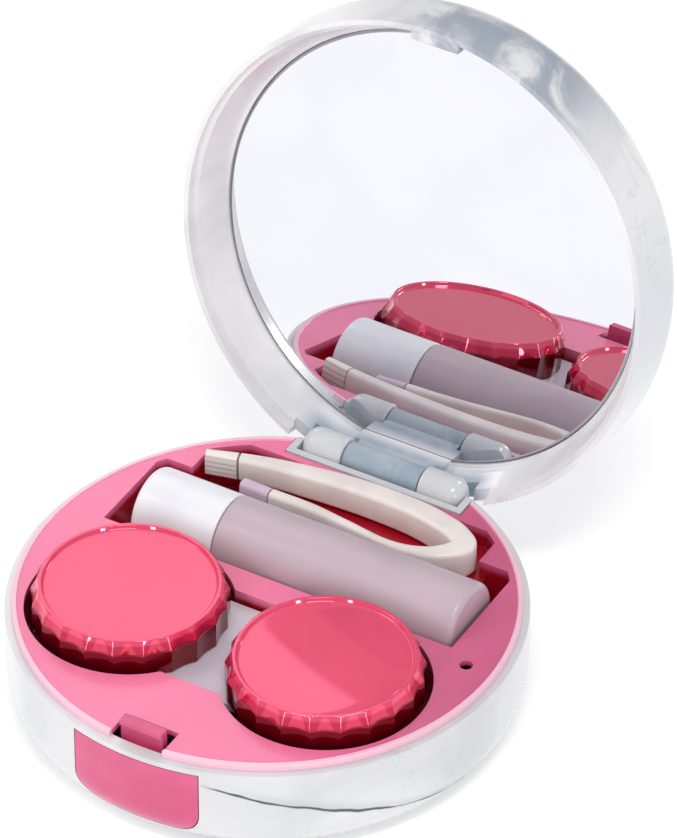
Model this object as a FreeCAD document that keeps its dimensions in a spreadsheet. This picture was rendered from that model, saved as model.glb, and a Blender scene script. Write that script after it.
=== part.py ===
import FreeCAD, Part
import Sketcher
import math
import os
from types import SimpleNamespace

# Round travel case for contact lenses: a hinged two-shell compact with a mirror in its lid and a moulded
# tray that holds a twin lens case, a solution bottle and a pair of lens tweezers.
# Frame: origin at the centre of the base's flat underside, +Z up, +Y towards the hinge, -Y towards the latch.
# The lid is modelled shut and then turned open about the hinge by its sub-parts' Placement.

doc = FreeCAD.newDocument("LensCase")
sheet = doc.addObject("Spreadsheet::Sheet", "Sizes")

SIZES = (
    # shells
    ("case_radius", 35.0),
    ("wall", 1.75),
    ("base_round", 7.0),
    ("part_line", 14.9),
    ("rim_top", 16.0),
    ("lid_gap", 0.15),
    ("lid_top", 29.0),
    ("lid_round", 5.6),
    ("lid_skin", 1.6),
    ("rebate_radius", 34.25),
    ("rebate_top", 16.35),
    ("lid_bore_low", 33.5),
    ("lid_bore_high", 32.0),
    ("ledge", 21.2),
    # mirror
    ("seat_radius", 31.5),
    ("seat_top", 22.8),
    ("seat_bore", 28.0),
    ("mirror_radius", 31.3),
    ("mirror_thick", 1.2),
    ("glue_thick", 0.3),
    ("glue_outer", 31.0),
    ("glue_inner", 28.4),
    # hinge
    ("hinge_back", 31.7),
    ("hinge_up", 15.4),
    ("knuckle_radius", 2.6),
    ("knuckle_dome", 1.8),
    ("knuckle_edge", 0.4),
    ("foot_inset", 1.4),
    ("lid_knuckle_radius", 2.2),
    ("pin_radius", 0.8),
    ("pin_play", 0.05),
    ("pin_half", 12.2),
    ("lid_knuckle_half", 5.8),
    ("knuckle_gap", 0.2),
    ("knuckle_half", 12.4),
    ("notch_half", 12.6),
    ("notch_front", 28.95),
    ("notch_floor", 10.5),
    ("block_wall", 1.0),
    ("block_play", 0.15),
    ("overlap", 0.5),
    ("window_half", 12.8),
    ("window_top", 18.4),
    ("relief_half", 15.2),
    ("relief_top", 17.0),
    ("tongue_front", 30.3),
    ("tongue_back", 34.3),
    ("tongue_half", 6.8),
    ("clip_radius", 34.6),
    ("lid_open", 101.0),
    # latch
    ("window_side", 9.5),
    ("window_low", 3.2),
    ("window_high", 14.1),
    ("window_corner", 4.0),
    ("button_gap", 0.15),
    ("hook_half", 3.2),
    ("hook_back", 31.0),
    ("hook_front", 32.2),
    ("hook_nose", 32.6),
    ("nose_low", 16.6),
    ("hook_top", 17.4),
    ("stem_low", 9.5),
    ("slot_half", 4.0),
    ("slot_back", 29.4),
    ("catch_half", 3.6),
    ("catch_tip", 32.8),
    ("catch_low", 15.2),
    ("spring_seat", 26.4),
    ("spring_up", 11.5),
    ("spring_radius", 1.7),
    ("spring_wire", 0.25),
    ("spring_pitch", 1.0),
    # tray
    ("flange_radius", 34.0),
    ("bead_bore", 33.4),
    ("plate_top", 15.8),
    ("tray_skin", 0.8),
    ("well_skin", 0.9),
    ("inside_radius", 32.5),
    ("outside_radius", 32.95),
    ("well_side", 15.0),
    ("well_front", 10.4),
    ("well_radius", 14.2),
    ("well_floor", 6.4),
    ("web_recess_half", 9.6),
    ("web_recess_side", 7.0),
    ("web_recess_play", 0.4),
    ("pocket_left", 27.6),
    ("pocket_right", 26.2),
    ("pocket_front", 3.4),
    ("pocket_step_left", 18.5),
    ("pocket_step_right", 20.8),
    ("pocket_back", 26.8),
    ("pocket_floor", 8.5),
    ("rest_left", 22.8),
    ("rest_right", 20.6),
    ("shelf_left", 14.4),
    ("shelf_front", 15.9),
    ("shelf_top", 12.8),
    ("vent_radius", 0.9),
    ("vent_right", 29.6),
    ("vent_back", 1.3),
    # twin lens case
    ("cup_low", 6.5),
    ("cup_radius", 11.8),
    ("cup_bore", 10.4),
    ("cup_floor", 1.3),
    ("cup_top", 17.8),
    ("web_low", 13.0),
    ("web_top", 14.1),
    ("web_half", 9.2),
    ("cap_radius", 13.3),
    ("cap_face", 12.3),
    ("cap_bore", 12.1),
    ("cap_low", 14.3),
    ("cap_shoulder", 17.9),
    ("cap_top", 19.8),
    ("cap_roof", 18.6),
    ("flute_radius", 2.2),
    ("flute_depth", 0.45),
    ("flute_count", 21),
    ("seal_radius", 11.9),
    ("seal_bore", 9.6),
    ("seal_low", 17.85),
    ("seal_high", 18.55),
    # solution bottle
    ("bottle_radius", 5.8),
    ("bottle_back", 9.9),
    ("bottle_up", 14.6),
    ("bottle_end", 25.5),
    ("bottle_shoulder", 36.95),
    ("bottle_bore", 4.7),
    ("bottle_floor", 1.2),
    ("bottle_round", 1.0),
    ("neck_radius", 4.0),
    ("neck_bore", 2.9),
    ("neck_top", 44.0),
    ("plug_play", 0.03),
    ("plug_flange", 3.8),
    ("plug_low", 38.5),
    ("plug_top", 44.8),
    ("nozzle_radius", 1.4),
    ("nozzle_top", 47.5),
    ("nozzle_bore", 0.4),
    ("bottle_cap_low", 37.1),
    ("bottle_cap_bore", 4.2),
    ("bottle_cap_roof", 48.5),
    ("bottle_cap_top", 49.8),
    ("liner_low", 47.7),
    ("liner_top", 48.45),
    ("liner_radius", 3.9),
    # tweezers
    ("tweezers_low", 12.95),
    ("tweezers_high", 17.7),
    ("tip_low", 13.6),
    ("tip_high", 17.4),
    ("near_tip_high", 16.6),
    ("bend_right", 18.0),
    ("bend_back", 21.0),
    ("bend_play", 0.1),
    ("bend_straight", 0.8),
    ("tip_length", 4.5),
)


class Size:
    """A length together with the sheet expression that gives it."""

    def __init__(self, number, text):
        self.number = number
        self.text = text

    def __add__(self, other):
        other = size(other)
        return Size(self.number + other.number, f"({self.text} + {other.text})")

    def __sub__(self, other):
        other = size(other)
        return Size(self.number - other.number, f"({self.text} - {other.text})")

    def __mul__(self, other):
        other = size(other)
        return Size(self.number * other.number, f"({self.text} * {other.text})")

    def __neg__(self):
        return Size(-self.number, f"(0 - {self.text})")


def size(value):
    """A plain number stands for itself."""
    return value if isinstance(value, Size) else Size(value, str(value))


cells = {}
for row, (alias, number) in enumerate(SIZES, start=1):
    sheet.set(f"A{row}", alias)
    sheet.set(f"B{row}", str(number))
    sheet.setAlias(f"B{row}", alias)
    cells[alias] = Size(number, f"Sizes.{alias}")
dim = SimpleNamespace(**cells)
doc.recompute()

margin = 2.0  # how far a cutting tool runs past the solid it cuts


def bind(target, **values):
    """Tie each property to its expression; a double underscore stands for a dot."""
    for name, value in values.items():
        target.setExpression(name.replace("__", "."), size(value).text)


def put(target, across=0, back=0, up=0):
    """Tie the place of a shape to the sheet."""
    bind(target, Placement__Base__x=across, Placement__Base__y=back, Placement__Base__z=up)
    return target


def box(name, across, back, up):
    """A box from its low and high limits in X, Y and Z."""
    made = doc.addObject("Part::Box", name)
    (x0, x1), (y0, y1), (z0, z1) = [(size(low), size(high)) for low, high in (across, back, up)]
    bind(made, Length=x1 - x0, Width=y1 - y0, Height=z1 - z0)
    return put(made, x0, y0, z0)


def both(value):
    """Limits that lie evenly on both sides of the middle plane."""
    return -size(value), size(value)


def cylinder(name, radius, length, across=0, back=0, up=0, along="Z"):
    """A cylinder that starts at the given point and runs along one axis."""
    made = doc.addObject("Part::Cylinder", name)
    bind(made, Radius=radius, Height=length)
    turns = {"X": FreeCAD.Rotation(0, 90, 0), "Y": FreeCAD.Rotation(0, 0, -90), "Z": FreeCAD.Rotation()}
    made.Placement = FreeCAD.Placement(FreeCAD.Vector(), turns[along])
    return put(made, across, back, up)


def fuse(name, *shapes):
    made = doc.addObject("Part::MultiFuse", name)
    made.Shapes = list(shapes)
    return made


def common(name, *shapes):
    made = doc.addObject("Part::MultiCommon", name)
    made.Shapes = list(shapes)
    return made


def cut(name, base, *tools):
    made = doc.addObject("Part::Cut", name)
    made.Base = base
    made.Tool = tools[0] if len(tools) == 1 else fuse(f"{name}_tools", *tools)
    return made


def plane(body, role):
    return next(feature for feature in body.Origin.OriginFeatures if feature.Role == role)


def turned(name, outline, rounds=()):
    """A body turned about Z from an outline of radius and height; each round is (radius, height, rounding)."""
    body = doc.addObject("PartDesign::Body", name)
    sketch = body.newObject("Sketcher::SketchObject", f"{name}_outline")
    sketch.AttachmentSupport = [(plane(body, "XZ_Plane"), "")]
    sketch.MapMode = "FlatFace"
    points = [(size(radius), size(height)) for radius, height in outline]
    corners = [FreeCAD.Vector(radius.number, height.number, 0) for radius, height in points]
    count = len(points)
    for index in range(count):
        sketch.addGeometry(Part.LineSegment(corners[index], corners[(index + 1) % count]), False)
    for index in range(count):
        sketch.addConstraint(Sketcher.Constraint("Coincident", index, 2, (index + 1) % count, 1))
    for index, (radius, height) in enumerate(points):
        for kind, value, axis in (("DistanceX", radius, -2), ("DistanceY", height, -1)):
            if value.number == 0:
                sketch.addConstraint(Sketcher.Constraint("PointOnObject", index, 1, axis))
            else:
                place = sketch.addConstraint(Sketcher.Constraint(kind, -1, 1, index, 1, value.number))
                sketch.setExpression(f"Constraints[{place}]", value.text)
    turn = body.newObject("PartDesign::Revolution", f"{name}_turn")
    turn.Profile = sketch
    turn.ReferenceAxis = (sketch, ["V_Axis"])
    turn.Angle = 360
    body.Tip = turn
    for number, (radius, height, rounding) in enumerate(rounds):
        doc.recompute()
        before = body.Tip
        edges = ring_edges(before.Shape, size(radius).number, size(height).number)
        fillet = body.newObject("PartDesign::Fillet", f"{name}_round_{number}")
        fillet.Base = (before, edges)
        bind(fillet, Radius=rounding)
        body.Tip = fillet
    return body


def ring_edges(shape, radius, height):
    """The names of the round edges of that radius at that height."""
    found = []
    for number, edge in enumerate(shape.Edges, start=1):
        curve = edge.Curve
        if not isinstance(curve, Part.Circle):
            continue
        if abs(curve.Radius - radius) < 0.01 and abs(curve.Center.z - height) < 0.01:
            found.append(f"Edge{number}")
    return found


def swing_open(made):
    """Turn a piece of the lid about the hinge from shut to its open rest."""
    centre = FreeCAD.Vector(0, dim.hinge_back.number, dim.hinge_up.number)
    turn = FreeCAD.Rotation(FreeCAD.Vector(-1, 0, 0), dim.lid_open.number)
    made.Placement = FreeCAD.Placement(FreeCAD.Vector(), turn, centre)
    return made


nodes = []


def keep(label, made):
    """Give a finished piece its name."""
    made.Label = label
    nodes.append(made)
    return made


# Base shell: a bowl with a hinge bay at the back and a button window at the front


def bowl(name, inset=0):
    """The bowl's outer form, or the same form drawn in by an inset."""
    side = dim.case_radius - inset
    outline = ((0, inset), (side, inset), (side, dim.part_line), (0, dim.part_line))
    return turned(name, outline, ((side, inset, dim.base_round - inset),))


def button_form(name, play):
    """The button's outline carried through the front wall, with two rounded lower corners."""
    side = dim.window_side - play
    low = dim.window_low + play
    high = dim.window_high - play
    corner = dim.window_corner - play
    outer = -(dim.case_radius + margin)
    inner = -(dim.case_radius - dim.base_round)
    upper = box(f"{name}_upper", both(side), (outer, inner), (low + corner, high))
    middle = box(f"{name}_middle", both(side - corner), (outer, inner), (low, high))
    rounds = [
        cylinder(f"{name}_corner_{index}", corner, inner - outer, across, outer, low + corner, "Y")
        for index, across in enumerate((corner - side, side - corner))
    ]
    return fuse(name, upper, middle, *rounds)


bay_half = dim.notch_half + dim.block_wall
bay_front = dim.notch_front - dim.block_wall
bay = common(
    "hinge_bay",
    box(
        "bay_block",
        both(bay_half),
        (bay_front, dim.case_radius),
        (dim.notch_floor - dim.block_wall, dim.rim_top),
    ),
    cylinder("bay_limit", dim.flange_radius, dim.rim_top),
)
spring_rib = box(
    "spring_rib",
    both(dim.slot_half),
    (-dim.spring_seat, dim.block_wall - dim.spring_seat),
    (dim.wall - dim.overlap, dim.window_high - dim.web_recess_play),
)
base_bowl = cut("base_bowl", bowl("bowl_outside"), bowl("bowl_inside", dim.wall))
base_walls = fuse("base_walls", base_bowl, bay, spring_rib)
knuckles = []
for index, side in enumerate((-1, 1)):
    start = -dim.knuckle_half if side < 0 else dim.lid_knuckle_half + dim.knuckle_gap
    length = dim.knuckle_half - dim.lid_knuckle_half - dim.knuckle_gap
    inner_up, outer_up = (size(0), length) if side > 0 else (length, size(0))
    radius = dim.knuckle_radius
    form = turned(
        f"knuckle_{index}",
        ((0, 0), (radius, 0), (radius, length), (0, length)),
        ((radius, outer_up, dim.knuckle_dome), (radius, inner_up, dim.knuckle_edge)),
    )
    form.Placement = FreeCAD.Placement(FreeCAD.Vector(), FreeCAD.Rotation(FreeCAD.Vector(0, 1, 0), 90))
    put(form, start, dim.hinge_back, dim.hinge_up)
    knuckles.append(form)
    foot_start = start + dim.foot_inset if side < 0 else start
    knuckles.append(
        box(
            f"knuckle_foot_{index}",
            (foot_start, foot_start + length - dim.foot_inset),
            (dim.notch_front - dim.overlap, dim.hinge_back),
            (dim.notch_floor - dim.overlap, dim.hinge_up),
        )
    )
base_open = cut(
    "base_open",
    base_walls,
    box(
        "bay_notch",
        both(dim.notch_half),
        (dim.notch_front, dim.case_radius + margin),
        (dim.notch_floor, dim.rim_top + margin),
    ),
    button_form("button_window", 0),
    box("hook_gap", both(dim.slot_half), (-(dim.case_radius - dim.wall), -dim.slot_back), (dim.part_line, dim.rim_top)),
)
base_full = common(
    "base_full",
    fuse("base_and_knuckles", base_open, *knuckles),
    cylinder("base_limit", dim.case_radius, dim.rim_top + dim.knuckle_radius + margin),
)
keep(
    "base_shell",
    cut(
        "base_bored",
        base_full,
        cylinder("pin_bore", dim.pin_radius, dim.pin_half * 2, -dim.pin_half, dim.hinge_back, dim.hinge_up, "X"),
    ),
)
keep("hinge_pin", cylinder("pin", dim.pin_radius, dim.pin_half * 2, -dim.pin_half, dim.hinge_back, dim.hinge_up, "X"))

# Tray: a flanged plate with two round wells, a bottle pocket and a raised shelf for the tweezers

plate = turned(
    "tray_plate",
    (
        (0, dim.part_line),
        (dim.flange_radius, dim.part_line),
        (dim.flange_radius, dim.rim_top),
        (dim.bead_bore, dim.rim_top),
        (dim.bead_bore, dim.plate_top),
        (0, dim.plate_top),
    ),
)


def wells(name, grow, low):
    """The two round wells, grown for their outside."""
    return [
        cylinder(f"{name}_{index}", dim.well_radius + grow, dim.rim_top + margin - low, across, -dim.well_front, low)
        for index, across in enumerate((-dim.well_side, dim.well_side))
    ]


def pockets(name, grow, drop, high):
    """Boxes of the pocket: the bottle's bed with its two stepped ends, the deep end and the tweezers' bay."""
    deep = (dim.pocket_floor - drop, high)
    front = dim.pocket_front - grow
    back = dim.pocket_back + grow
    return [
        box(
            f"{name}_bed",
            (-dim.pocket_left - grow, dim.pocket_right + grow),
            (front, dim.pocket_step_left + grow),
            deep,
        ),
        box(
            f"{name}_step",
            (dim.rest_right - grow, dim.pocket_right + grow),
            (front, dim.pocket_step_right + grow),
            deep,
        ),
        box(f"{name}_end", (-dim.rest_left - grow, grow - dim.shelf_left), (dim.shelf_front, back), deep),
        box(
            f"{name}_bay",
            (-dim.shelf_left - grow, dim.rest_right + grow),
            (dim.shelf_front, back),
            (dim.shelf_top - drop, high),
        ),
    ]


tray_outside = common(
    "tray_outside",
    fuse(
        "tray_under",
        *wells("well_outside", dim.well_skin, dim.well_floor - dim.tray_skin),
        *pockets("pocket_outside", dim.tray_skin, dim.tray_skin, dim.plate_top),
    ),
    cylinder("tray_limit", dim.outside_radius, dim.plate_top),
)
pocket_space = common(
    "pocket_space",
    fuse("pocket_forms", *pockets("pocket_inside", size(0), size(0), dim.rim_top + margin)),
    cylinder("pocket_limit", dim.inside_radius, dim.rim_top + margin * 2),
)
web_recess = box(
    "web_recess",
    both(dim.web_recess_side),
    (-dim.well_front - dim.web_recess_half, dim.web_recess_half - dim.well_front),
    (dim.web_low - dim.web_recess_play, dim.rim_top + margin),
)
web_bed = box(
    "web_bed",
    both(dim.web_recess_side + dim.tray_skin),
    (-dim.well_front - dim.web_recess_half - dim.tray_skin, dim.pocket_front),
    (dim.web_low - dim.web_recess_play - dim.tray_skin, dim.plate_top),
)
hollowed = cut(
    "tray_hollowed",
    fuse("tray_solid", plate, tray_outside, web_bed),
    *wells("well_space", size(0), dim.well_floor),
    pocket_space,
    web_recess,
    box("hook_slot", both(dim.slot_half), (-(dim.case_radius + margin), -dim.slot_back), (0, dim.rim_top + margin)),
    box(
        "bay_clearance",
        both(bay_half + dim.block_play),
        (bay_front - dim.block_play, dim.case_radius + margin),
        (0, dim.rim_top + margin),
    ),
    cylinder("vent", dim.vent_radius, dim.rim_top + margin, dim.vent_right, dim.vent_back, 0),
)
shelf_block = box(
    "shelf_block",
    (-dim.shelf_left, dim.rest_right + dim.tray_skin),
    (dim.shelf_front, dim.pocket_back + dim.tray_skin),
    (dim.pocket_floor - dim.tray_skin, dim.shelf_top),
)
shelf_under = box(
    "shelf_under",
    (dim.tray_skin - dim.shelf_left, dim.rest_right + dim.tray_skin + margin),
    (dim.shelf_front + dim.tray_skin, dim.pocket_back + margin),
    (0, dim.shelf_top - dim.tray_skin),
)
shelf = common(
    "shelf",
    cut("shelf_shell", shelf_block, shelf_under),
    cylinder("shelf_limit", dim.outside_radius, dim.rim_top),
)
keep("tray", fuse("tray_whole", hollowed, shelf))

# Lid: a shallow dome with a stepped rim, a seat for the mirror and a hinge tongue

lid_walls = turned(
    "lid_dome",
    (
        (0, dim.lid_top),
        (dim.case_radius, dim.lid_top),
        (dim.case_radius, dim.part_line + dim.lid_gap),
        (dim.rebate_radius, dim.part_line + dim.lid_gap),
        (dim.rebate_radius, dim.rebate_top),
        (dim.lid_bore_low, dim.rebate_top),
        (dim.lid_bore_high, dim.ledge),
        (dim.seat_radius, dim.ledge),
        (dim.seat_radius, dim.seat_top),
        (dim.seat_bore, dim.seat_top),
        (dim.seat_bore, dim.lid_top - dim.lid_skin),
        (0, dim.lid_top - dim.lid_skin),
    ),
    ((dim.case_radius, dim.lid_top, dim.lid_round),),
)
lid_cut = cut(
    "lid_cut",
    lid_walls,
    box(
        "lid_window",
        both(dim.window_half),
        (dim.notch_front - dim.overlap, dim.case_radius + margin),
        (dim.part_line - margin, dim.window_top),
    ),
    box(
        "lid_relief",
        both(dim.relief_half),
        (dim.notch_front, dim.case_radius + margin),
        (dim.part_line - margin, dim.relief_top),
    ),
)
tongue = common(
    "tongue",
    fuse(
        "tongue_blocks",
        box(
            "tongue_web",
            both(dim.lid_knuckle_half),
            (dim.tongue_front, dim.tongue_back),
            (dim.hinge_up, dim.window_top + dim.overlap),
        ),
        box("tongue_root", both(dim.tongue_half), (dim.tongue_front, dim.tongue_back), (dim.window_top, dim.ledge)),
        cylinder(
            "lid_knuckle",
            dim.lid_knuckle_radius,
            dim.lid_knuckle_half * 2,
            -dim.lid_knuckle_half,
            dim.hinge_back,
            dim.hinge_up,
            "X",
        ),
    ),
    cylinder("tongue_limit", dim.clip_radius, dim.lid_top),
)
catch = common(
    "catch",
    box("catch_bar", both(dim.catch_half), (-dim.case_radius, -dim.catch_tip), (dim.catch_low, dim.rebate_top + 0.4)),
    cylinder("catch_limit", dim.clip_radius, dim.lid_top),
)
lid_bore = cylinder(
    "lid_bore",
    dim.pin_radius + dim.pin_play,
    dim.notch_half * 2,
    -dim.notch_half,
    dim.hinge_back,
    dim.hinge_up,
    "X",
)
keep("lid_shell", swing_open(cut("lid_bored", fuse("lid_full", lid_cut, tongue, catch), lid_bore)))
glue_low = dim.seat_top - dim.glue_thick
glue = cut(
    "glue_ring",
    cylinder("glue_disc", dim.glue_outer, dim.glue_thick, 0, 0, glue_low),
    cylinder("glue_hole", dim.glue_inner, dim.glue_thick + margin, 0, 0, glue_low - 1),
)
keep("mirror_adhesive", swing_open(glue))
face_up = glue_low - dim.mirror_thick
mirror_outline = ((0, face_up), (dim.mirror_radius, face_up), (dim.mirror_radius, glue_low), (0, glue_low))
mirror = turned("mirror_disc", mirror_outline)
keep("mirror", swing_open(mirror))

# Latch: a button flush with the front wall, its hook through the tray, and a return spring

button_wall = cut("button_wall", bowl("button_outside"), bowl("button_inside", dim.wall))
button_plate = common("button_plate", button_wall, button_form("button_edge", dim.button_gap))
stem_top = dim.window_high - dim.button_gap
keep(
    "latch_button",
    fuse(
        "button_and_hook",
        button_plate,
        box("stem_foot", both(dim.hook_half), (-(dim.case_radius - 1), -dim.hook_back), (dim.stem_low, stem_top)),
        box("hook_stem", both(dim.hook_half), (-dim.hook_front, -dim.hook_back), (dim.stem_low, dim.hook_top)),
        box("hook_nose_bar", both(dim.hook_half), (-dim.hook_nose, -dim.hook_back), (dim.nose_low, dim.hook_top)),
    ),
)
coil = doc.addObject("Part::Helix", "coil_line")
coil_length = dim.hook_back - dim.spring_seat - dim.spring_wire * 2
bind(coil, Pitch=dim.spring_pitch, Height=coil_length, Radius=dim.spring_radius)
wire = doc.addObject("Part::Circle", "coil_section")
bind(wire, Radius=dim.spring_wire)
wire.Placement = FreeCAD.Placement(FreeCAD.Vector(), FreeCAD.Rotation(FreeCAD.Vector(1, 0, 0), 90))
put(wire, dim.spring_radius)
spring = doc.addObject("Part::Sweep", "coil_sweep")
spring.Sections = [wire]
spring.Spine = (coil, [])
spring.Solid = True
spring.Frenet = True
spring.Placement = FreeCAD.Placement(FreeCAD.Vector(), FreeCAD.Rotation(FreeCAD.Vector(1, 0, 0), -90))
put(spring, 0, -dim.hook_back + dim.spring_wire, dim.spring_up)
keep("latch_spring", spring)

# Twin lens case: two cups on a web, each with a fluted screw cap and its seal


def cup(name, across):
    outline = (
        (0, dim.cup_low),
        (dim.cup_radius, dim.cup_low),
        (dim.cup_radius, dim.cup_top),
        (dim.cup_bore, dim.cup_top),
        (dim.cup_bore, dim.cup_low + dim.cup_floor),
        (0, dim.cup_low + dim.cup_floor),
    )
    made = turned(name, outline, ((dim.cup_radius, dim.cup_low, dim.cup_floor),))
    return put(made, across, -dim.well_front)


web = cut(
    "web_plate",
    box(
        "web_blank",
        both(dim.well_side),
        (-dim.well_front - dim.web_half, dim.web_half - dim.well_front),
        (dim.web_low, dim.web_top),
    ),
    *[
        cylinder(f"web_bore_{index}", dim.cup_radius - 0.6, dim.rim_top, across, -dim.well_front, 0)
        for index, across in enumerate((-dim.well_side, dim.well_side))
    ],
)
keep("lens_case_body", fuse("cups", cup("cup_left", -dim.well_side), cup("cup_right", dim.well_side), web))


def fluted_cap(name):
    """A screw cap: flat face, sloped crown, and flutes cut round its side."""
    body = turned(
        name,
        (
            (0, dim.cap_roof),
            (dim.cap_bore, dim.cap_roof),
            (dim.cap_bore, dim.cap_low),
            (dim.cap_radius, dim.cap_low),
            (dim.cap_radius, dim.cap_shoulder),
            (dim.cap_face, dim.cap_top),
            (0, dim.cap_top),
        ),
    )
    sketch = body.newObject("Sketcher::SketchObject", f"{name}_flute")
    sketch.AttachmentSupport = [(plane(body, "XY_Plane"), "")]
    sketch.MapMode = "FlatFace"
    reach = dim.cap_radius + dim.flute_radius - dim.flute_depth
    sketch.addGeometry(
        Part.Circle(FreeCAD.Vector(reach.number, 0, 0), FreeCAD.Vector(0, 0, 1), dim.flute_radius.number), False
    )
    sketch.addConstraint(Sketcher.Constraint("PointOnObject", 0, 3, -1))
    place = sketch.addConstraint(Sketcher.Constraint("DistanceX", -1, 1, 0, 3, reach.number))
    sketch.setExpression(f"Constraints[{place}]", reach.text)
    girth = sketch.addConstraint(Sketcher.Constraint("Radius", 0, dim.flute_radius.number))
    sketch.setExpression(f"Constraints[{girth}]", dim.flute_radius.text)
    doc.recompute()
    pocket = body.newObject("PartDesign::Pocket", f"{name}_cutter")
    pocket.Profile = sketch
    pocket.Type = "Length"
    bind(pocket, Length=dim.cap_top + margin)
    pocket.Reversed = True
    body.Tip = pocket
    doc.recompute()
    pattern = body.newObject("PartDesign::PolarPattern", f"{name}_flutes")
    pattern.Originals = [pocket]
    pattern.Axis = (sketch, ["N_Axis"])
    pattern.Angle = 360
    bind(pattern, Occurrences=dim.flute_count)
    body.Tip = pattern
    return body


for word, across in (("left", -dim.well_side), ("right", dim.well_side)):
    keep(f"lens_cap_{word}", put(fluted_cap(f"cap_{word}"), across, -dim.well_front))
    seal = turned(
        f"seal_{word}",
        (
            (dim.seal_bore, dim.seal_low),
            (dim.seal_radius, dim.seal_low),
            (dim.seal_radius, dim.seal_high),
            (dim.seal_bore, dim.seal_high),
        ),
    )
    keep(f"cap_seal_{word}", put(seal, across, -dim.well_front))

# Solution bottle: turned standing up, then laid along X with its cap to the left


def lay(made):
    """Lay a piece of the bottle on its side: its own +Z runs to -X from the bottle's flat end."""
    made.Placement = FreeCAD.Placement(FreeCAD.Vector(), FreeCAD.Rotation(FreeCAD.Vector(0, 1, 0), -90))
    return put(made, dim.bottle_end, dim.bottle_back, dim.bottle_up)


bottle = turned(
    "bottle",
    (
        (0, 0),
        (dim.bottle_radius, 0),
        (dim.bottle_radius, dim.bottle_shoulder),
        (dim.neck_radius, dim.bottle_shoulder),
        (dim.neck_radius, dim.neck_top),
        (dim.neck_bore, dim.neck_top),
        (dim.neck_bore, dim.bottle_shoulder - 1),
        (dim.bottle_bore, dim.bottle_shoulder - 3),
        (dim.bottle_bore, dim.bottle_floor),
        (0, dim.bottle_floor),
    ),
    ((dim.bottle_radius, 0, dim.bottle_round),),
)
keep("bottle_body", lay(bottle))
plug = turned(
    "plug",
    (
        (dim.nozzle_bore, dim.plug_low),
        (dim.neck_bore - dim.plug_play, dim.plug_low),
        (dim.neck_bore - dim.plug_play, dim.neck_top),
        (dim.plug_flange, dim.neck_top),
        (dim.plug_flange, dim.plug_top),
        (dim.nozzle_radius, dim.plug_top),
        (dim.nozzle_radius, dim.nozzle_top),
        (dim.nozzle_bore, dim.nozzle_top),
    ),
)
keep("bottle_dropper_plug", lay(plug))
bottle_cap = turned(
    "bottle_lid",
    (
        (0, dim.bottle_cap_roof),
        (dim.bottle_cap_bore, dim.bottle_cap_roof),
        (dim.bottle_cap_bore, dim.bottle_cap_low),
        (dim.bottle_radius, dim.bottle_cap_low),
        (dim.bottle_radius, dim.bottle_cap_top),
        (0, dim.bottle_cap_top),
    ),
    ((dim.bottle_radius, dim.bottle_cap_top, dim.bottle_round * 0.6),),
)
keep("bottle_cap", lay(bottle_cap))
liner = turned(
    "liner",
    (
        (0, dim.liner_low),
        (dim.liner_radius, dim.liner_low),
        (dim.liner_radius, dim.liner_top),
        (0, dim.liner_top),
    ),
)
keep("bottle_cap_liner", lay(liner))

# Tweezers: one moulded wishbone lying on its side, its two arms and their soft tips


def side_line(route, widths, side):
    """A smooth line beside a route, half a width away from it."""
    points = [FreeCAD.Vector(across, back, 0) for across, back in route]
    line = []
    for index, point in enumerate(points):
        sides = [
            later - earlier
            for earlier, later in ((points[max(index - 1, 0)], point), (point, points[min(index + 1, len(points) - 1)]))
            if (later - earlier).Length > 0
        ]
        # the shorter side says more about the direction
        ahead = sum((side_way / side_way.Length**2 for side_way in sides), FreeCAD.Vector())
        away = FreeCAD.Vector(-ahead.y, ahead.x, 0).normalize()
        line.append(point + away * (side * widths[index] / 2))
    curve = Part.BSplineCurve()
    curve.interpolate(line)
    return curve.toShape(), line


def strip(route, widths, low, high):
    """A strip on edge along a route in plan; low and high are its heights where it starts and where it ends."""
    left, left_points = side_line(route, widths, 1)
    right, right_points = side_line(route, widths, -1)
    ends = [Part.LineSegment(left_points[place], right_points[place]).toShape() for place in (0, -1)]
    face = Part.Face(Part.Wire(Part.__sortEdges__([left, ends[0], right, ends[1]])))
    slab = face.extrude(FreeCAD.Vector(0, 0, dim.rim_top.number + 2 * margin))
    start, finish = route[0][0], route[-1][0]
    past = 2 * margin  # the side form keeps its end heights past both ends
    under = [(start - past, low[0]), (start, low[0]), (finish, low[1]), (finish + past, low[1])]
    over = [(finish + past, high[1]), (finish, high[1]), (start, high[0]), (start - past, high[0])]
    outline = [FreeCAD.Vector(across, 0, up) for across, up in under + over + under[:1]]
    form = Part.Face(Part.makePolygon(outline)).extrude(FreeCAD.Vector(0, dim.case_radius.number, 0))
    return slab.common(form)


def keep_arm(word, route, widths, tip_high):
    """Split one arm's strip into its hard arm and its soft tip."""
    lows = (dim.tip_low.number, dim.tweezers_low.number)
    highs = (tip_high.number, dim.tweezers_high.number)
    whole = strip(route, widths, lows, highs)
    length = dim.tip_length.number
    side = dim.case_radius.number
    start = FreeCAD.Vector(route[0][0] - length, 0, 0)
    tip_room = Part.makeBox(2 * length, side, side, start)
    arm = whole.cut(tip_room)
    tip = whole.common(tip_room)
    for label, shape in ((f"tweezers_arm_{word}", arm), (f"tweezers_tip_{word}", tip)):
        made = doc.addObject("Part::Feature", label)
        made.Shape = shape.Solids[0]
        keep(label, made)


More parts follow.
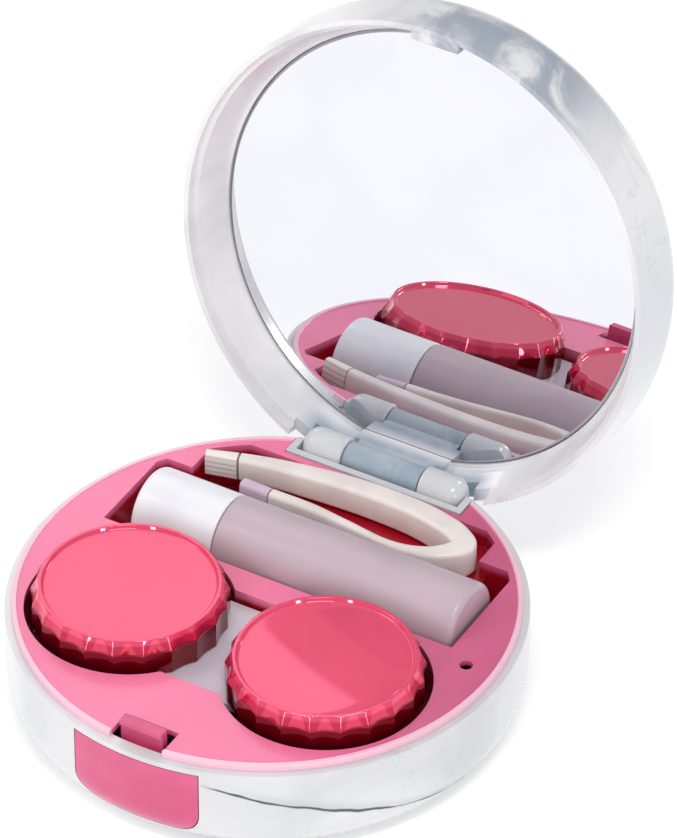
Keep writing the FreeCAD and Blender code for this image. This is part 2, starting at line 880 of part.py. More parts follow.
across = dim.bend_right.number
back = dim.bend_back.number
play = dim.bend_play.number
straight = dim.bend_straight.number  # both arms end square to the bend, over this length
back_route = [(-22, 20.9), (-15, 22.9), (-8, 24.1), (0, 24.9), (8, 24.8), (13.2, 23.9), (16.1, 22.9)]
front_route = [(-15, 18.9), (-10, 18.6), (-4, 18.4), (2, 17.6), (8, 16.65), (12.2, 16.9), (15.8, 18.2)]
back_route += [(across, back + play + straight), (across, back + play)]
front_route += [(across, back - play - straight), (across, back - play)]
keep_arm("back", back_route, [1.6, 2.2, 2.8, 3.2, 3.3, 3.4, 3.4, 3.4, 3.4], dim.tip_high)
keep_arm("front", front_route, [1.8, 1.8, 1.7, 1.4, 1.3, 1.7, 2.6, 3.3, 3.4], dim.near_tip_high)

doc.recompute()
for thing in doc.Objects:
    if "Invalid" in thing.State or "Error" in thing.State:
        raise RuntimeError(f"{thing.Name} failed: {thing.State}")
os.makedirs("parts", exist_ok=True)
for piece in nodes:
    shape = piece.Shape
    if shape.isNull() or not shape.isValid():
        raise RuntimeError(f"{piece.Label} has no sound shape")
    shape.exportStep(f"parts/{piece.Label}.step")
    print(f"{piece.Label}: {len(shape.Solids)} solid, {shape.Volume:.1f} mm3")
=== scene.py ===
import math

import bmesh
import bpy
import numpy as np
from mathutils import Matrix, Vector


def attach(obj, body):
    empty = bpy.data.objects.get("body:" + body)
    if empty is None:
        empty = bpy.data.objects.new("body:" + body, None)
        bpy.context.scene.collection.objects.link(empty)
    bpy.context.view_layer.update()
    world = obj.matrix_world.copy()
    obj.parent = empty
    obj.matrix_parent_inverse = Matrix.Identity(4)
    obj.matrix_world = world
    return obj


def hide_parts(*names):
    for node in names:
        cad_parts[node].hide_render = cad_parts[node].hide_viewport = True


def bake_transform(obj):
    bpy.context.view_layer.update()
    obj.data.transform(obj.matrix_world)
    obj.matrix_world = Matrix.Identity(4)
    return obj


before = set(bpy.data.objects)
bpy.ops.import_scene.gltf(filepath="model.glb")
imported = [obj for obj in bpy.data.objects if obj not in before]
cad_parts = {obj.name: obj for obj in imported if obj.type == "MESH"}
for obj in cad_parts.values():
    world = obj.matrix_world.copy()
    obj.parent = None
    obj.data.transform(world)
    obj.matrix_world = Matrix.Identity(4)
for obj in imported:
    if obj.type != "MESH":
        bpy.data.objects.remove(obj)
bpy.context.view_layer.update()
mm = 0.001
print("frame loaded:", len(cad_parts), "nodes")

# mesh tools: every shape is worked out in millimetres and stored in metres

hinge = {"back": 31.7, "up": 15.4, "openAngle": 101.0}


def swingOpen(points):
    # a turn about the hinge axis, which runs along X: back and up go round it by the open angle
    turn = math.radians(hinge["openAngle"])
    back = points[..., 1] - hinge["back"]
    up = points[..., 2] - hinge["up"]
    turnedBack = back * math.cos(turn) + up * math.sin(turn)
    turnedUp = up * math.cos(turn) - back * math.sin(turn)
    return np.stack([points[..., 0], hinge["back"] + turnedBack, hinge["up"] + turnedUp], -1)


def gridFaces(rows, columns, closeRows):
    # one quad between neighbouring rows and columns; the columns wrap round, and so do closed rows
    row = np.arange(rows if closeRows else rows - 1)
    a, b = np.meshgrid(row, np.arange(columns), indexing="ij")
    nextA, nextB = (a + 1) % rows, (b + 1) % columns
    corners = [a * columns + b, nextA * columns + b, nextA * columns + nextB, a * columns + nextB]
    return np.stack(corners, -1).reshape(-1, 4)


def meshFrom(name, points, faces):
    # closes seams and poles by merging, and turns the faces outwards by the sign of the volume
    merge = 1e-7
    mesh = bpy.data.meshes.new(name)
    mesh.from_pydata((np.asarray(points).reshape(-1, 3) * mm).tolist(), [], [list(face) for face in faces])
    work = bmesh.new()
    work.from_mesh(mesh)
    bmesh.ops.remove_doubles(work, verts=work.verts, dist=merge)
    bmesh.ops.dissolve_degenerate(work, edges=work.edges, dist=merge)
    if work.calc_volume(signed=True) < 0:
        bmesh.ops.reverse_faces(work, faces=work.faces)
    work.to_mesh(mesh)
    work.free()
    return mesh


def place(name, mesh, body, material, stands=(), smooth=35.0):
    piece = bpy.data.objects.new(name, mesh)
    bpy.context.scene.collection.objects.link(piece)
    mesh.materials.clear()
    mesh.materials.append(material)
    mesh.shade_smooth()
    mesh.set_sharp_from_angle(angle=math.radians(smooth))
    if body:
        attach(piece, body)
    if stands:
        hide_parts(*stands)
    return piece


def roundedLine(corners):
    # a closed line; corners are (x, y, radius), and each becomes an arc that touches both of its sides
    steps = 8
    points = []
    count = len(corners)
    for number, (x, y, radius) in enumerate(corners):
        here = np.array([x, y], float)
        if radius <= 0:
            points.append(here[None])
            continue
        before = np.array(corners[number - 1][:2], float) - here
        after = np.array(corners[(number + 1) % count][:2], float) - here
        before /= np.linalg.norm(before)
        after /= np.linalg.norm(after)
        half = math.acos(np.clip(before @ after, -1, 1)) / 2
        middle = before + after
        centre = here + middle / np.linalg.norm(middle) * radius / math.sin(half)
        start = here + before * radius / math.tan(half) - centre
        finish = here + after * radius / math.tan(half) - centre
        sweep = math.pi - 2 * half
        t = np.linspace(0, 1, steps + 1)[:, None]
        arc = start * np.sin((1 - t) * sweep) + finish * np.sin(t * sweep)
        points.append(centre + arc / math.sin(sweep))
    return np.concatenate(points)


def lathe(profile, steps, centre=(0, 0), wave=None):
    # profile rows are (radius, height); the surface is that line carried round the upright axis,
    # at the radius less the wave, which depends on the angle
    angle = np.linspace(0, 2 * math.pi, steps, endpoint=False)[:, None]
    radius = profile[None, :, 0]
    if wave is not None:
        radius = radius - wave(angle, profile)
    across = centre[0] + radius * np.cos(angle)
    back = centre[1] + radius * np.sin(angle)
    up = np.broadcast_to(profile[None, :, 1], across.shape)
    return np.stack([across, back, up], -1), gridFaces(steps, len(profile), True)


def latheAlong(profile, middle):
    # the same round a level axis: profile rows are (radius, place along X)
    points, faces = lathe(profile, 128)
    along = np.stack([points[..., 2], middle[0] + points[..., 0], middle[1] + points[..., 1]], -1)
    return along, faces


easing = {"segments": 3, "angle": 30.0, "merge": 2e-6, "flat": 0.4}


def refined(node, name, body, material, width):
    # a merged copy of a node's mesh, with flat stretches joined and its edges eased by a bevel
    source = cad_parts[node].data
    points = np.empty(len(source.vertices) * 3, np.float32)
    source.vertices.foreach_get("co", points)
    faces = np.empty(len(source.loops), np.int32)
    source.loops.foreach_get("vertex_index", faces)
    mesh = bpy.data.meshes.new(name)
    mesh.from_pydata(points.reshape(-1, 3).tolist(), [], faces.reshape(-1, 3).tolist())
    work = bmesh.new()
    work.from_mesh(mesh)
    bmesh.ops.remove_doubles(work, verts=work.verts, dist=easing["merge"])
    flat = math.radians(easing["flat"])
    bmesh.ops.dissolve_limit(work, angle_limit=flat, verts=work.verts, edges=work.edges)
    work.to_mesh(mesh)
    work.free()
    piece = place(name, mesh, body, material, (node,), easing["angle"])
    ease = piece.modifiers.new("easedEdges", "BEVEL")
    ease.width = width * mm
    ease.segments = easing["segments"]
    ease.limit_method = "ANGLE"
    ease.angle_limit = math.radians(easing["angle"])
    ease.use_clamp_overlap = True


# shader tools


class Wire:
    # a socket of a material's tree that can be written in sums
    def __init__(self, tree, socket=None):
        self.tree = tree
        self.socket = socket

    def node(self, kind, settings=None, sockets=None, out=0):
        made = self.tree.nodes.new("ShaderNode" + kind)
        for name, value in (settings or {}).items():
            setattr(made, name, value)
        for name, value in (sockets or {}).items():
            if isinstance(value, Wire):
                self.tree.links.new(value.socket, made.inputs[name])
            else:
                made.inputs[name].default_value = value
        return Wire(self.tree, made.outputs[out])

    def sum(self, operation, first, second=0.0):
        return self.node("Math", {"operation": operation}, {0: first, 1: second})

    def __add__(self, other):
        return self.sum("ADD", self, other)

    def __sub__(self, other):
        return self.sum("SUBTRACT", self, other)

    def __rsub__(self, other):
        return self.sum("SUBTRACT", other, self)

    def __mul__(self, other):
        return self.sum("MULTIPLY", self, other)

    def __pow__(self, other):
        return self.sum("POWER", self, other)

    def __abs__(self):
        return self.sum("ABSOLUTE", self)

    __radd__ = __add__

    def step(self, low, high):
        # 0 below low, 1 above high, and a smooth rise between; low may be the larger
        return self.node(
            "MapRange",
            {"interpolation_type": "SMOOTHSTEP"},
            {"Value": self, "From Min": low, "From Max": high, "To Min": 0.0, "To Max": 1.0},
        )

    def axis(self, letter):
        return self.node("SeparateXYZ", None, {"Vector": self}, letter) * (1 / mm)

    def noise(self, size, detail=3.0, roughness=0.5, distortion=0.0, shift=(0, 0, 0)):
        moved = self.node("Mapping", None, {"Vector": self, "Location": [part * mm for part in shift]})
        return self.node(
            "TexNoise",
            None,
            {
                "Vector": moved,
                "Scale": 1 / (size * mm),
                "Detail": detail,
                "Roughness": roughness,
                "Distortion": distortion,
            },
        )

    def mix(self, first, second, mask):
        return self.node("Mix", {"data_type": "RGBA"}, {0: mask, 6: first, 7: second}, 2)

    def bump(self, height, strength, distance):
        return self.node("Bump", None, {"Strength": strength, "Distance": distance * mm, "Height": height})


def colour(red, green, blue):
    # a screen colour of 0 to 255 as the linear colour that a shader takes
    parts = [part / 255 for part in (red, green, blue)]
    return [part / 12.92 if part <= 0.04045 else ((part + 0.055) / 1.055) ** 2.4 for part in parts] + [1.0]


def finish(name, paint, constants):
    # constants go on the shader's own sockets; paint returns what changes over the surface
    material = bpy.data.materials.new(name)
    material.use_nodes = True
    tree = material.node_tree
    shader = tree.nodes["Principled BSDF"]
    for socket, value in constants.items():
        shader.inputs[socket].default_value = value
    coordinates = Wire(tree).node("TexCoord", None, None, "Object")
    for socket, wire in paint(coordinates).items():
        tree.links.new(wire.socket, shader.inputs[socket])
    return material


def plastic(name, tints, grain=None, constants=None):
    # a moulded plastic: two close tints in soft clouds, and a fine grain in gloss and surface
    grain = {"cloud": 9.0, "fine": 0.5, "rough": (0.2, 0.3), "bump": 0.02, **(grain or {})}

    def paint(at):
        cloud = at.noise(grain["cloud"], 2.0).step(0.35, 0.65)
        fine = at.noise(grain["fine"], 2.0)
        low, high = grain["rough"]
        return {
            "Base Color": at.mix(tints[0], tints[1], cloud),
            "Roughness": low + fine * (high - low),
            "Normal": at.bump(fine, 0.4, grain["bump"]),
        }

    return finish(name, paint, {"IOR": 1.5, **(constants or {})})


# marbled shell plastic of the base and the lid

marble = {
    "white": colour(221, 221, 222),
    "lidWhite": colour(234, 233, 235),
    "lidMist": colour(206, 206, 210),
    "mist": colour(200, 203, 206),
    "slate": colour(128, 142, 160),
    "hinge": colour(150, 166, 180),
    "vein": colour(70, 76, 84),
    "cloudSize": 26.0,
    "veinSize": 15.0,
    "veinWidth": 0.022,
    "veinStart": 10.0,
    "veinUp": 12.7,
    "veinFall": 0.3,
    "veinBend": 13.0,
    "veinCurve": 0.018,
}
shellGloss = {"rough": 0.2, "spread": 0.1, "fine": 1.2, "swell": 3.0}


def shellPaint(at, tint):
    # the same gloss and the same faint swell on both shells
    return {
        "Base Color": tint,
        "Roughness": shellGloss["rough"] + at.noise(shellGloss["fine"], 2.0) * shellGloss["spread"],
        "Normal": at.bump(at.noise(shellGloss["swell"], 1.0), 0.15, 0.03),
    }


def marbleBase(at):
    across, back, up = at.axis("X"), at.axis("Y"), at.axis("Z")
    cloud = at.noise(marble["cloudSize"], 3.0, 0.55, 0.6).step(0.44, 0.72)
    tint = at.mix(marble["white"], marble["mist"], cloud * 0.9)
    wander = (at.noise(6.0, 2.0) - 0.5) * 1.2
    along = across - marble["veinStart"]
    late = at.sum("MAXIMUM", along - marble["veinBend"], 0.0)
    # the long dark vein falls from beside the button towards the right of the foot, on a slope that
    # turns into the curve of a square
    fall = along * marble["veinFall"] + late * late * marble["veinCurve"]
    height = up - marble["veinUp"] + fall + wander
    thick = at.noise(5.0, 1.0).step(0.3, 0.7) * 0.22 + 0.06
    line = 1.0 - abs(height).step(thick * 0.4, thick + 0.1)
    front = back.step(2.0, -6.0)
    line = line * across.step(9.0, 13.0) * front
    halo = (1.0 - abs(height - 0.5).step(0.0, 1.3)) * across.step(12.0, 20.0) * front * 0.22
    web = at.noise(marble["veinSize"], 4.0, 0.55, 1.2, (40, 10, 5)) - 0.5
    thin = 1.0 - abs(web).step(0.0, marble["veinWidth"])
    thin = thin * at.noise(20.0, 1.0, 0.5, 0.0, (9, 3, 70)).step(0.52, 0.68) * 0.22
    tint = at.mix(tint, marble["slate"], halo)
    tint = at.mix(tint, marble["slate"], thin)
    return shellPaint(at, at.mix(tint, marble["vein"], line))


def marbleLid(at):
    across, back, up = at.axis("X"), at.axis("Y"), at.axis("Z")
    cloud = at.noise(marble["cloudSize"], 3.0, 0.55, 0.6, (31, 7, 3)).step(0.4, 0.72)
    tint = at.mix(marble["lidWhite"], marble["lidMist"], cloud)
    # slate patches gather near the free edge on the right
    patch = at.noise(12.0, 4.0, 0.6, 0.9, (4, 0, 12)).step(0.36, 0.58)
    top = up.step(64.0, 78.0) * across.step(-12.0, 2.0) * across.step(27.0, 17.0)
    tint = at.mix(tint, marble["slate"], patch * top * 0.8)
    tint = at.mix(tint, marble["hinge"], across.step(29.0, 36.0) * 0.35)
    # painted shade: the hinge tongue low on the open lid gets the blue-grey hinge tint, a little patchy, for
    # the shadow it stands in
    foot = up.step(25.0, 19.0) * abs(across).step(15.5, 12.0) * back.step(38.0, 35.0) * (0.75 + patch * 0.25)
    tint = at.mix(tint, marble["hinge"], foot)
    web = at.noise(marble["veinSize"], 4.0, 0.55, 1.2) - 0.5
    thin = 1.0 - abs(web).step(0.0, marble["veinWidth"])
    thin = thin * at.noise(20.0, 1.0).step(0.5, 0.66) * across.step(-6.0, 14.0) * 0.15
    return shellPaint(at, at.mix(tint, marble["slate"], thin))


shellShine = {"IOR": 1.5, "Coat Weight": 0.3, "Coat Roughness": 0.06}
marbledBase = finish("marbledBase", marbleBase, shellShine)
marbledLid = finish("marbledLid", marbleLid, shellShine)

# pink plastic of the tray and of the button

trayTints = {
    "top": colour(249, 127, 169),
    "topCloudAndShade": colour(192, 82, 122),
    "deep": colour(168, 12, 34),
    "rim": colour(250, 214, 228),
}


def trayPaint(at):
    across, back, up = at.axis("X"), at.axis("Y"), at.axis("Z")
    radius = (across * across + back * back) ** 0.5
    cloud = at.noise(22.0, 2.0).step(0.35, 0.65)
    # painted shade: the tray top darkens towards the right and the back, away from the light; the same tint
    # also serves the faint clouds
    right = (across * 0.86 + back * 0.5).step(4.0, 30.0)
    tint = at.mix(trayTints["top"], trayTints["topCloudAndShade"], cloud * 0.15 + right * 0.75)
    # painted shade: a deep red over the walls and floors of the wells and pockets, below the tray top
    tint = at.mix(tint, trayTints["deep"], up.step(15.6, 14.2) * radius.step(33.3, 32.9))
    # painted highlight: a pale band round the rounded outer rim of the tray
    tint = at.mix(tint, trayTints["rim"], radius.step(33.2, 33.5) * 0.75)
    return {
        "Base Color": tint,
        "Roughness": 0.2 + at.noise(1.5, 2.0) * 0.08,
        "Normal": at.bump(at.noise(4.0, 1.0), 0.1, 0.02),
    }


pinkTray = finish("pinkTray", trayPaint, {"IOR": 1.5, "Coat Weight": 0.25, "Coat Roughness": 0.05})
pinkButton = plastic("pinkButton", (colour(218, 92, 134), colour(208, 80, 124)), {"rough": (0.18, 0.26)})

print("building the base, the tray and the lid")
refined("base_shell", "baseShell", "case_base", marbledBase, 0.22)
refined("tray", "pinkTray", "case_base", pinkTray, 0.28)
refined("lid_shell", "lidShell", "lid", marbledLid, 0.3)
refined("latch_button", "latchButton", "latch", pinkButton, 0.14)
whiteCase = plastic("whiteCase", (colour(222, 214, 224), colour(212, 200, 214)), {"rough": (0.3, 0.4)})
refined("lens_case_body", "lensCaseBody", "lens_case", whiteCase, 0.2)

# mirror: a glass disc with a ground edge, facing down into the case when the lid is shut

print("building the mirror")
mirrorGlass = {"radius": 31.3, "low": 21.3, "high": 22.5, "ground": 0.35}


def mirrorPaint(at):
    haze = at.noise(14.0, 2.0).step(0.3, 0.7)
    return {
        "Base Color": at.mix(colour(228, 228, 233), colour(225, 225, 231), haze),
        "Roughness": at.noise(30.0, 1.0) * 0.006,
    }


silvered = finish("silveredGlass", mirrorPaint, {"Metallic": 1.0})
edge = mirrorGlass["radius"]
ground = mirrorGlass["ground"]
mirrorLine = np.array(
    [
        (0, mirrorGlass["low"]),
        (edge - ground, mirrorGlass["low"]),
        (edge, mirrorGlass["low"] + ground),
        (edge, mirrorGlass["high"]),
        (0, mirrorGlass["high"]),
    ]
)
points, faces = lathe(mirrorLine, 256)
mesh = meshFrom("mirrorDisc", swingOpen(points), faces)
place("mirrorDisc", mesh, "lid", silvered, ("mirror",), 20)

# screw caps: a flat face, a sloped crown with scallops that meet in sharp ridges, and a skirt

print("building the screw caps")
cap = {
    "places": ((-15.0, -10.4, "left"), (15.0, -10.4, "right")),
    "dish": 11.55,
    "dishUp": 19.3,
    "face": 12.3,
    "faceUp": 19.8,
    "ridge": 13.3,
    "ridgeUp": 17.9,
    "foot": 14.3,
    "bore": 12.1,
    "boreTop": 18.55,
    "flutes": 21,
    "depth": 0.5,
    "shareAtFace": 0.2,
    "shareOnSkirt": 0.75,
    "stepsPerFlute": 18,
}
capTintsAndShade = {
    "face": colour(246, 84, 120),
    "faceDeep": colour(236, 72, 110),
    "crown": colour(214, 44, 84),
    "skirt": colour(118, 2, 20),
}


def capPaint(at):
    up = at.axis("Z")
    cloud = at.noise(16.0, 2.0).step(0.3, 0.7)
    tint = at.mix(capTintsAndShade["face"], capTintsAndShade["faceDeep"], cloud * 0.5)
    # painted shade: below the face the sloped crown turns a darker red, and the skirt, shaded by the well,
    # darker still
    tint = at.mix(tint, capTintsAndShade["crown"], up.step(19.25, 18.9))
    tint = at.mix(tint, capTintsAndShade["skirt"], up.step(18.3, 17.6))
    return {
        "Base Color": tint,
        "Roughness": 0.04 + at.noise(0.8, 2.0) * 0.04,
        "Normal": at.bump(at.noise(3.0, 1.0), 0.06, 0.02),
    }


capShine = {"Metallic": 0.4, "IOR": 1.5, "Coat Weight": 0.35, "Coat Roughness": 0.02}
pinkCap = finish("pinkCap", capPaint, capShine)


def scallops(angle, profile):
    # depth times the size of a sine: zero on a ridge and full in the middle of a scallop, growing down the
    # crown, a little less on the skirt and none inside the bore
    crown = np.clip((cap["faceUp"] - profile[:, 1]) / (cap["faceUp"] - cap["ridgeUp"]), 0, 1)
    sloped = cap["shareAtFace"] + (1 - cap["shareAtFace"]) * crown
    share = np.where(profile[:, 1] > cap["ridgeUp"], sloped, cap["shareOnSkirt"])
    outside = np.clip((profile[:, 0] - cap["bore"] - 0.1) / 0.1, 0, 1)
    return cap["depth"] * share[None] * outside[None] * np.abs(np.sin(angle * cap["flutes"] / 2))


capLine = roundedLine(
    [
        (0, cap["dishUp"], 0),
        (cap["dish"] - 2.0, cap["dishUp"], 0),
        (cap["dish"], cap["dishUp"], 0.3),
        (cap["dish"] + 0.25, cap["faceUp"], 0.12),
        (cap["face"], cap["faceUp"], 0.2),
        (cap["ridge"], cap["ridgeUp"], 0.18),
        (cap["ridge"], cap["foot"], 0.15),
        (cap["bore"], cap["foot"], 0.1),
        (cap["bore"], cap["boreTop"], 0.2),
        (0, cap["boreTop"], 0),
    ]
)
for across, back, side in cap["places"]:
    points, faces = lathe(capLine, cap["flutes"] * cap["stepsPerFlute"], (across, back), scallops)
    name = "screwCap" + side.title()
    mesh = meshFrom(name, points, faces)
    place(name, mesh, side + "_cap", pinkCap, ("lens_cap_" + side,), 28)

# solution bottle: a frosted tube lying along X, with a smooth screw cap on its left end

print("building the bottle")
bottle = {
    "middle": (9.9, 14.6),
    "radius": 5.8,
    "end": 25.5,
    "shoulder": -11.45,
    "wall": 0.9,
    "neck": 4.0,
    "neckBore": 2.9,
    "neckEnd": -19.0,
}
frosted = plastic(
    "frostedBottle",
    (colour(196, 176, 185), colour(187, 166, 177)),
    {"cloud": 14.0, "rough": (0.3, 0.4), "bump": 0.03},
    {"Coat Weight": 0.15, "Coat Roughness": 0.2},
)
bottleLine = roundedLine(
    [
        (0, bottle["end"], 0),
        (bottle["radius"], bottle["end"], 0.9),
        (bottle["radius"], bottle["shoulder"], 0.35),
        (bottle["neck"], bottle["shoulder"], 0.2),
        (bottle["neck"], bottle["neckEnd"], 0.2),
        (bottle["neckBore"], bottle["neckEnd"], 0.2),
        (bottle["neckBore"], bottle["shoulder"] + bottle["wall"], 0.3),
        (bottle["radius"] - bottle["wall"], bottle["shoulder"] + bottle["wall"], 0.3),
        (bottle["radius"] - bottle["wall"], bottle["end"] - bottle["wall"], 0.6),
        (0, bottle["end"] - bottle["wall"], 0),
    ]
)
points, faces = latheAlong(bottleLine, bottle["middle"])
mesh = meshFrom("bottleBody", points, faces)
place("bottleBody", mesh, "bottle", frosted, ("bottle_body",))

bottleCap = {"start": -11.6, "end": -24.3, "bore": 4.6, "inside": -21.0}
whiteTints = (colour(238, 238, 243), colour(230, 229, 237))
whiteCap = plastic("whiteCap", whiteTints, {"rough": (0.22, 0.3)})
bottleCapLine = roundedLine(
    [
        (0, bottleCap["end"], 0),
        (bottle["radius"], bottleCap["end"], 1.1),
        (bottle["radius"], bottleCap["start"], 0.25),
        (bottleCap["bore"], bottleCap["start"], 0.15),
        (bottleCap["bore"], bottleCap["inside"], 0.3),
        (0, bottleCap["inside"], 0),
    ]
)
points, faces = latheAlong(bottleCapLine, bottle["middle"])
mesh = meshFrom("bottleCap", points, faces)
place("bottleCap", mesh, "bottle_cap", whiteCap, ("bottle_cap",))

# tweezers: one springy strip, bent back on itself at the right, with a soft tip on each arm

print("building the tweezers")
tweezers = {
    "back": [(-22, 20.9), (-15, 22.9), (-8, 24.1), (0, 24.9), (8, 24.8), (13.2, 23.9), (16.1, 22.9)],
    "front": [(-15, 18.9), (-10, 18.6), (-4, 18.4), (2, 17.6), (8, 16.65), (12.2, 16.9), (15.8, 18.2)],
    "bend": (18.0, 21.0),
    "backWidths": [1.6, 2.2, 2.8, 3.2, 3.3, 3.4, 3.4],
    "frontWidths": [1.8, 1.8, 1.7, 1.4, 1.3, 1.7, 2.6],
    "bendWidth": 3.4,
    "low": (13.6, 12.95),
    "high": (17.4, 17.7),
    "nearHigh": 16.6,
    "rounding": 0.7,
    "tip": 4.5,
    "rows": 300,
    "cornerRows": 7,
    "endRows": 6,
    "blendStart": (0.018, 0.0212, 0.0155),
    "blendEnd": (0.01798, 0.0208, 0.0155),
}
cream = plastic(
    "creamPlastic",
    (colour(238, 229, 225), colour(228, 217, 213)),
    {"cloud": 6.0, "rough": (0.26, 0.36), "bump": 0.03},
    {"Coat Weight": 0.2, "Coat Roughness": 0.1},
)
tipTints = (colour(222, 200, 216), colour(208, 184, 204))
softTip = plastic("softTip", tipTints, {"rough": (0.35, 0.45)})
ribs = {"pitch": 0.8, "ridge": colour(240, 232, 226), "grooveAndShade": colour(190, 176, 174)}


def ribPaint(at):
    # fine grooves that run along the grip, with painted shade darkening their feet
    grooveAndShade = at.sum("SINE", at.axis("Z") * (2 * math.pi / ribs["pitch"])).step(0.2, 0.9)
    tint = at.mix(ribs["ridge"], ribs["grooveAndShade"], grooveAndShade * 0.7)
    return {"Base Color": tint, "Roughness": 0.4 + grooveAndShade * 0.1, "Normal": at.bump(grooveAndShade, -0.6, 0.15)}


ribbedTip = finish("ribbedTip", ribPaint, {"IOR": 1.5})


def smoothThrough(values, at):
    # a curve through the points: each span is a cubic whose end slopes come from the neighbours
    values = np.asarray(values, float)
    slopes = np.gradient(values, axis=0)
    span = np.clip(np.floor(at).astype(int), 0, len(values) - 2)
    t = at - span
    if values.ndim > 1:
        t = t[:, None]
    start, stop = values[span], values[span + 1]
    leave, arrive = slopes[span], slopes[span + 1]
    rise = t * t * (3 - 2 * t)
    return start + (stop - start) * rise + leave * t * (1 - t) ** 2 - arrive * t * t * (1 - t)


def strip(route, widths, lows, highs):
    # a rounded upright section carried along a route in plan; each end face shrinks to its middle
    forward = np.gradient(route, axis=0)
    forward /= np.linalg.norm(forward, axis=1, keepdims=True)
    aside = np.stack([-forward[:, 1], forward[:, 0]], -1)
    rounding = tweezers["rounding"]
    corner = np.linspace(0, math.pi / 2, tweezers["cornerRows"])
    flat = np.ones(tweezers["cornerRows"])
    ring = []
    for signX, signZ, start in ((1, 1, 0), (-1, 1, 1), (-1, -1, 2), (1, -1, 3)):
        angle = corner + start * math.pi / 2
        ring.append(np.stack([flat * signX, flat * signZ, np.cos(angle), np.sin(angle)], -1))
    ring = np.concatenate(ring)
    half, tall = widths / 2, (highs - lows) / 2
    bend = np.minimum(rounding, np.minimum(half, tall) * 0.9)
    sideways = ring[None, :, 0] * (half - bend)[:, None] + ring[None, :, 2] * bend[:, None]
    upward = ring[None, :, 1] * (tall - bend)[:, None] + ring[None, :, 3] * bend[:, None]
    middle = (lows + highs) / 2
    plan = route[:, None, :] + aside[:, None, :] * sideways[..., None]
    points = np.concatenate([plan, (middle[:, None] + upward)[..., None]], -1)
    shrink = np.sin(np.linspace(math.pi / 2, 0, tweezers["endRows"]))[1:, None, None]
    ends = []
    for end in (0, -1):
        centre = points[end].mean(0)
        ends.append(centre + (points[end] - centre)[None] * shrink)
    points = np.concatenate([ends[0][::-1], points, ends[1]])
    return points, gridFaces(len(points), points.shape[1], False)


# one route: out along the back arm, round the bend, and home along the front arm
route = np.array([*tweezers["back"], tweezers["bend"], *tweezers["front"][::-1]], float)
widths = np.array([*tweezers["backWidths"], tweezers["bendWidth"], *tweezers["frontWidths"][::-1]], float)
at = np.linspace(0, len(route) - 1, tweezers["rows"])
way = smoothThrough(route, at)
wide = smoothThrough(widths, at)
onBack = at <= len(tweezers["back"])
startAcross = np.where(onBack, route[0, 0], route[-1, 0])
share = np.clip((way[:, 0] - startAcross) / (tweezers["bend"][0] - startAcross), 0, 1)
tipHigh = np.where(onBack, tweezers["high"][0], tweezers["nearHigh"])
lows = tweezers["low"][0] + (tweezers["low"][1] - tweezers["low"][0]) * share
highs = tipHigh + (tweezers["high"][1] - tipHigh) * share
backTip = onBack & (way[:, 0] < route[0, 0] + tweezers["tip"])
frontTip = ~onBack & (way[:, 0] < route[-1, 0] + tweezers["tip"])
arms = ~(backTip | frontTip)
points, faces = strip(way[arms], wide[arms], lows[arms], highs[arms])
armPiece = place("tweezersArms", meshFrom("tweezersArms", points, faces), None, cream)
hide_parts("tweezers_arm_back", "tweezers_arm_front")
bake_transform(armPiece)
for side, chosen, body in (("Back", backTip, "tweezers"), ("Front", frontTip, "tweezers_front")):
    points, faces = strip(way[chosen], wide[chosen], lows[chosen], highs[chosen])
    name = "tweezersTip" + side
    tipFinish = ribbedTip if side == "Back" else softTip
    mesh = meshFrom(name, points, faces)
    place(name, mesh, body, tipFinish, ("tweezers_tip_" + side.lower(),))

# small parts whose shape is already right get their finish

print("finishing the small parts")
steelTints = (colour(196, 198, 202), colour(176, 178, 184))
steel = plastic("brushedSteel", steelTints, {"rough": (0.2, 0.35)}, {"Metallic": 1.0})
rubber = plastic("sealRubber", (colour(226, 222, 224), colour(212, 208, 212)), {"rough": (0.5, 0.65)})
foamTints = (colour(236, 234, 228), colour(222, 220, 214))
foam = plastic("adhesiveFoam", foamTints, {"rough": (0.8, 0.95), "bump": 0.08})
plug = plastic("clearPlug", (colour(234, 236, 240), colour(224, 228, 234)), {"rough": (0.15, 0.25)})
for node, material in {
    "hinge_pin": steel,
    "latch_spring": steel,
    "mirror_adhesive": foam,
    "cap_seal_left": rubber,
    "cap_seal_right": rubber,
    "bottle_dropper_plug": plug,
    "bottle_cap_liner": rubber,
}.items():
    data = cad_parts[node].data
    data.materials.clear()
    data.materials.append(material)

# floor, light and camera

print("setting the floor, the light and the camera")
stageSet = {"half": 3.0, "drop": 0.0001, "glow": 0.2, "world": 0.56}
half, drop = stageSet["half"], stageSet["drop"]
floorMesh = bpy.data.meshes.new("floor")
floorCorners = [(-half, -half, -drop), (half, -half, -drop), (half, half, -drop), (-half, half, -drop)]
floorMesh.from_pydata(floorCorners, [], [(0, 1, 2, 3)])
floor = bpy.data.objects.new("floor", floorMesh)
bpy.context.scene.collection.objects.link(floor)


def floorPaint(at):
    return {"Base Color": at.mix(colour(246, 246, 247), colour(244, 244, 246), at.noise(200.0))}


paperShine = {
    "Roughness": 0.9,
    "Specular IOR Level": 0.0,
    "Emission Color": (1, 1, 1, 1),
    "Emission Strength": stageSet["glow"],
}
floorMesh.materials.append(finish("paleFloor", floorPaint, paperShine))

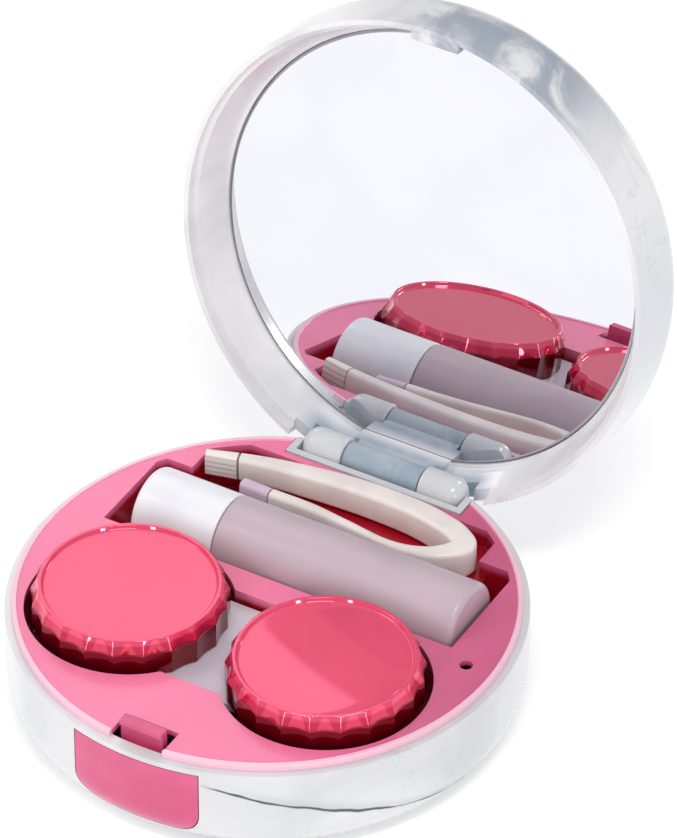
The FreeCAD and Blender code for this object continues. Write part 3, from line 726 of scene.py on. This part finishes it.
world = bpy.data.worlds.new("softRoom")
world.use_nodes = True
world.node_tree.nodes["Background"].inputs["Color"].default_value = (1, 1, 1, 1)
world.node_tree.nodes["Background"].inputs["Strength"].default_value = stageSet["world"]
bpy.context.scene.world = world

lamps = {
    "frontSoftbox": {"azimuth": 40, "elevation": 62, "distance": 0.8, "size": (0.3, 0.12), "power": 2.0},
    "leftSoftbox": {"azimuth": -60, "elevation": 40, "distance": 0.9, "size": (0.14, 0.5), "power": 1.2},
    "backSoftbox": {"azimuth": 208, "elevation": 46, "distance": 0.9, "size": (0.8, 0.6), "power": 1.4},
    "stripLeft": {"azimuth": 2, "elevation": 17, "distance": 0.8, "size": (0.07, 0.24), "power": 0.7},
    "stripRight": {"azimuth": 62, "elevation": 17, "distance": 0.8, "size": (0.07, 0.24), "power": 0.7},
}


def towards(spot):
    # the direction to a spot given by its azimuth, from -Y towards +X, and its elevation
    turn, lift = math.radians(spot["azimuth"]), math.radians(spot["elevation"])
    return Vector((math.sin(turn) * math.cos(lift), -math.cos(turn) * math.cos(lift), math.sin(lift)))


for name, lamp in lamps.items():
    light = bpy.data.lights.new(name, "AREA")
    light.shape = "RECTANGLE"
    light.size, light.size_y = lamp["size"]
    light.energy = lamp["power"]
    holder = bpy.data.objects.new(name, light)
    away = towards(lamp)
    holder.location = away * lamp["distance"] + Vector((0, 0, 0.02))
    holder.rotation_euler = away.to_track_quat("Z", "Y").to_euler()
    bpy.context.scene.collection.objects.link(holder)

view = {
    "azimuth": 30.15,
    "elevation": 38.75,
    "distance": 1.0,
    "lens": 323.0,
    "aim": (0, 0, 0.016),
    "right": 0.00945,
    "up": 0.0236,
}
away = towards(view)
camera = bpy.data.objects.new("camera", bpy.data.cameras.new("camera"))
look = away.to_track_quat("Z", "Y")
camera.location = Vector(view["aim"]) + away * view["distance"]
camera.location += look @ Vector((view["right"], view["up"], 0))
camera.rotation_euler = look.to_euler()
camera.data.lens = view["lens"]
camera.data.sensor_width = 36.0
bpy.context.scene.collection.objects.link(camera)
bpy.context.scene.camera = camera
bpy.context.scene.view_settings.view_transform = "Standard"
